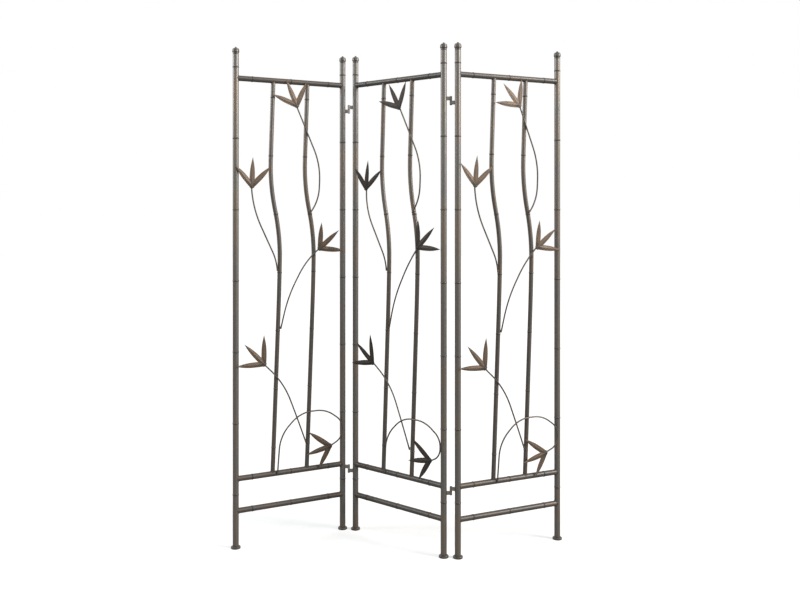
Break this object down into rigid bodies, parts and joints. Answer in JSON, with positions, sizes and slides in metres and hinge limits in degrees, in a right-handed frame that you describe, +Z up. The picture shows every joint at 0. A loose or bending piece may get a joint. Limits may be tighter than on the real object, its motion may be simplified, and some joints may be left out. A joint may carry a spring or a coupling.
{
  "type": "folding iron screen",
  "caption": "Free-standing folding screen of bamboo-look iron tube: hinged panels with ringed posts, bent stalks, wire tendrils and sheet-metal leaves.",
  "frame": {"origin": "middle of the floor area that the screen's box covers, on the floor", "axes": "+Z up, +X to the right along the zigzag as seen from the front, +Y to the back"},
  "size_m": [1.2236, 0.3144, 1.829],
  "materials": {
    "posts": "antique iron lacquer, semi-gloss, rubbed lighter on the edges",
    "rails": "antique iron lacquer, semi-gloss",
    "stalks": "antique iron lacquer, semi-gloss",
    "tendrils": "antique iron lacquer, satin",
    "leaves": "brown bronze lacquer, satin, darker in the creases",
    "middle_leaves": "brown bronze lacquer, satin, darker in the creases",
    "hinges": "antique iron lacquer, satin",
    "hinge_pins": "dull steel, worn bright where it runs"
  },
  "bodies": {
    "middle_panel": {"middle_panel_left_post": "posts", "middle_panel_right_post": "posts", "middle_panel_post_caps": "posts", "middle_panel_post_feet": "posts", "middle_panel_top_rail": "rails", "middle_panel_foot_rails": "rails", "middle_panel_left_stalk": "stalks", "middle_panel_right_stalk": "stalks", "middle_panel_hinge_eyes": "hinges", "middle_panel_top_tendril": "tendrils", "middle_panel_shoulder_tendril": "tendrils", "middle_panel_waist_tendril": "tendrils", "middle_panel_knee_tendril": "tendrils", "middle_panel_arch_tendril": "tendrils", "middle_panel_top_leaves": "middle_leaves", "middle_panel_shoulder_leaves": "middle_leaves", "middle_panel_waist_leaves": "middle_leaves", "middle_panel_knee_leaves": "middle_leaves", "middle_panel_arch_leaves": "middle_leaves", "hinge_pins": "hinge_pins"},
    "left_panel": {"left_panel_left_post": "posts", "left_panel_right_post": "posts", "left_panel_post_caps": "posts", "left_panel_post_feet": "posts", "left_panel_top_rail": "rails", "left_panel_foot_rails": "rails", "left_panel_left_stalk": "stalks", "left_panel_right_stalk": "stalks", "left_panel_hinge_eyes": "hinges", "left_panel_top_tendril": "tendrils", "left_panel_shoulder_tendril": "tendrils", "left_panel_waist_tendril": "tendrils", "left_panel_knee_tendril": "tendrils", "left_panel_arch_tendril": "tendrils", "left_panel_top_leaves": "leaves", "left_panel_shoulder_leaves": "leaves", "left_panel_waist_leaves": "leaves", "left_panel_knee_leaves": "leaves", "left_panel_arch_leaves": "leaves"},
    "right_panel": {"right_panel_left_post": "posts", "right_panel_right_post": "posts", "right_panel_post_caps": "posts", "right_panel_post_feet": "posts", "right_panel_top_rail": "rails", "right_panel_foot_rails": "rails", "right_panel_left_stalk": "stalks", "right_panel_right_stalk": "stalks", "right_panel_hinge_eyes": "hinges", "right_panel_top_tendril": "tendrils", "right_panel_shoulder_tendril": "tendrils", "right_panel_waist_tendril": "tendrils", "right_panel_knee_tendril": "tendrils", "right_panel_arch_tendril": "tendrils", "right_panel_top_leaves": "leaves", "right_panel_shoulder_leaves": "leaves", "right_panel_waist_leaves": "leaves", "right_panel_knee_leaves": "leaves", "right_panel_arch_leaves": "leaves"}
  },
  "joints": [
    {"name": "left_fold", "type": "hinge", "parent": "middle_panel", "child": "left_panel", "pos_m": [-0.19344, 0.13114, 0], "axis": [0, 0, 1], "range_deg": [-66.3, 113.7]},
    {"name": "right_fold", "type": "hinge", "parent": "middle_panel", "child": "right_panel", "pos_m": [0.18632, -0.13015, 0], "axis": [0, 0, 1], "range_deg": [-64, 116]}
  ]
}
